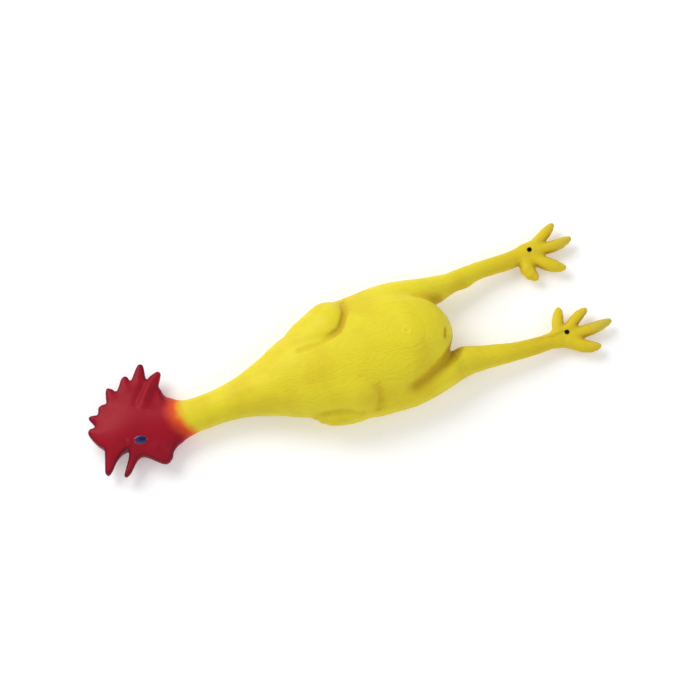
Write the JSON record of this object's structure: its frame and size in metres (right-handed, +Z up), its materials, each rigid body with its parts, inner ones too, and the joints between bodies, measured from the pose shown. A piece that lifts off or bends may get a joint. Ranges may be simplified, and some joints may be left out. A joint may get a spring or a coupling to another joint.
{
  "type": "rubber chicken",
  "caption": "Squeaking rubber chicken of thin moulded latex lying on its back, with a red crested head, floppy neck and legs, and a round squeaker patch in its belly.",
  "frame": {"origin": "middle of the object's box, on the surface that the chicken lies on", "axes": "+Z up out of the belly, -X towards the head, +X towards the feet, +Y towards the bird's left side"},
  "size_m": [0.4698, 0.1274, 0.0585],
  "materials": {
    "yellow_latex": "satin",
    "leg_latex": "satin",
    "red_latex": "satin painted",
    "eye_paint": "gloss painted",
    "wadding": "fluffy",
    "squeaker_plastic": "gloss",
    "reed_plastic": "matte"
  },
  "bodies": {
    "torso": {"torso_skin": "yellow_latex", "torso_wadding": "wadding", "left_wing": "yellow_latex", "right_wing": "yellow_latex", "belly_flex": "yellow_latex", "neck_root_flex": "yellow_latex", "left_hip_flex": "yellow_latex", "right_hip_flex": "yellow_latex"},
    "belly": {"belly_skin": "yellow_latex", "closing_patch": "yellow_latex", "squeaker_barrel": "squeaker_plastic", "squeaker_lid": "squeaker_plastic", "squeaker_reed_tube": "squeaker_plastic", "squeaker_reed": "reed_plastic"},
    "neck_lower": {"neck_lower_skin": "yellow_latex", "neck_lower_wadding": "wadding", "neck_middle_flex": "yellow_latex"},
    "neck_middle": {"neck_middle_skin": "yellow_latex", "neck_middle_wadding": "wadding", "neck_top_flex": "yellow_latex"},
    "neck_upper": {"neck_upper_skin": "yellow_latex", "neck_upper_wadding": "wadding", "head_nod_flex": "red_latex"},
    "head": {"head_skin": "red_latex", "upper_beak": "red_latex", "left_eye": "eye_paint", "right_eye": "eye_paint"},
    "comb": {"comb": "red_latex"},
    "lower_beak": {"lower_beak": "red_latex"},
    "wattle": {"wattle": "red_latex"},
    "left_thigh": {"left_thigh_skin": "yellow_latex", "left_thigh_wadding": "wadding", "left_hock_flex": "leg_latex"},
    "left_shank": {"left_shank_skin": "leg_latex", "left_shank_wadding": "wadding", "left_ankle_flex": "leg_latex"},
    "left_foot": {"left_foot": "leg_latex"},
    "right_thigh": {"right_thigh_skin": "yellow_latex", "right_thigh_wadding": "wadding", "right_hock_flex": "leg_latex"},
    "right_shank": {"right_shank_skin": "leg_latex", "right_shank_wadding": "wadding", "right_ankle_flex": "leg_latex"},
    "right_foot": {"right_foot": "leg_latex"}
  },
  "joints": [
    {"name": "belly_squeeze", "type": "slide", "parent": "torso", "child": "belly", "axis": [0, 0, -1], "range_m": [0, 0.006], "stiffness_N_per_m": 400, "deforming": ["belly_flex", "torso_wadding"]},
    {"name": "neck_root_bend", "type": "hinge", "parent": "torso", "child": "neck_lower", "pos_m": [-0.072, 0.002, 0.023], "axis": [0, 1, 0], "range_deg": [-18, 18], "stiffness_Nm_per_rad": 1.2, "deforming": ["neck_root_flex"]},
    {"name": "neck_middle_swing", "type": "hinge", "parent": "neck_lower", "child": "neck_middle", "pos_m": [-0.103, 0.0032, 0.0182], "axis": [0, 0, 1], "range_deg": [-26, 26], "stiffness_Nm_per_rad": 0.5, "deforming": ["neck_middle_flex"]},
    {"name": "neck_top_bend", "type": "hinge", "parent": "neck_middle", "child": "neck_upper", "pos_m": [-0.13, 0.0031, 0.0154], "axis": [0, 1, 0], "range_deg": [-28, 28], "stiffness_Nm_per_rad": 0.4, "deforming": ["neck_top_flex"]},
    {"name": "head_nod", "type": "hinge", "parent": "neck_upper", "child": "head", "pos_m": [-0.152, 0.0038, 0.0146], "axis": [0, 0, 1], "range_deg": [-22, 22], "stiffness_Nm_per_rad": 0.3, "deforming": ["head_nod_flex"]},
    {"name": "comb_flex", "type": "hinge", "parent": "head", "child": "comb", "pos_m": [-0.1945, 0.01975, 0.014], "axis": [0.9635, 0.2676, 0], "range_deg": [-18, 18], "stiffness_Nm_per_rad": 0.06},
    {"name": "jaw_open", "type": "hinge", "parent": "head", "child": "lower_beak", "pos_m": [-0.203, -0.012, 0.014], "axis": [0, 0, 1], "range_deg": [-10, 14], "stiffness_Nm_per_rad": 0.004},
    {"name": "wattle_flex", "type": "hinge", "parent": "head", "child": "wattle", "pos_m": [-0.178, -0.0155, 0.014], "axis": [1, 0, 0], "range_deg": [-25, 25], "stiffness_Nm_per_rad": 0.006},
    {"name": "left_hip_splay", "type": "hinge", "parent": "torso", "child": "left_thigh", "pos_m": [0.104, 0.0344, 0.0203], "axis": [0, 0, 1], "range_deg": [-18, 18], "stiffness_Nm_per_rad": 0.4, "deforming": ["left_hip_flex"]},
    {"name": "left_hock_bend", "type": "hinge", "parent": "left_thigh", "child": "left_shank", "pos_m": [0.126, 0.0378, 0.017], "axis": [0, 1, 0], "range_deg": [-28, 28], "stiffness_Nm_per_rad": 0.2, "deforming": ["left_hock_flex"]},
    {"name": "left_ankle_bend", "type": "hinge", "parent": "left_shank", "child": "left_foot", "pos_m": [0.165, 0.0394, 0.012], "axis": [0, 1, 0], "range_deg": [-30, 30], "stiffness_Nm_per_rad": 0.08, "deforming": ["left_ankle_flex"]},
    {"name": "right_hip_splay", "type": "hinge", "parent": "torso", "child": "right_thigh", "pos_m": [0.104, -0.0343, 0.0203], "axis": [0, 0, 1], "range_deg": [-18, 18], "stiffness_Nm_per_rad": 0.4, "deforming": ["right_hip_flex"]},
    {"name": "right_hock_bend", "type": "hinge", "parent": "right_thigh", "child": "right_shank", "pos_m": [0.126, -0.0385, 0.017], "axis": [0, 1, 0], "range_deg": [-28, 28], "stiffness_Nm_per_rad": 0.2, "deforming": ["right_hock_flex"]},
    {"name": "right_ankle_bend", "type": "hinge", "parent": "right_shank", "child": "right_foot", "pos_m": [0.165, -0.0423, 0.012], "axis": [0, 1, 0], "range_deg": [-30, 30], "stiffness_Nm_per_rad": 0.08, "deforming": ["right_ankle_flex"]}
  ]
}
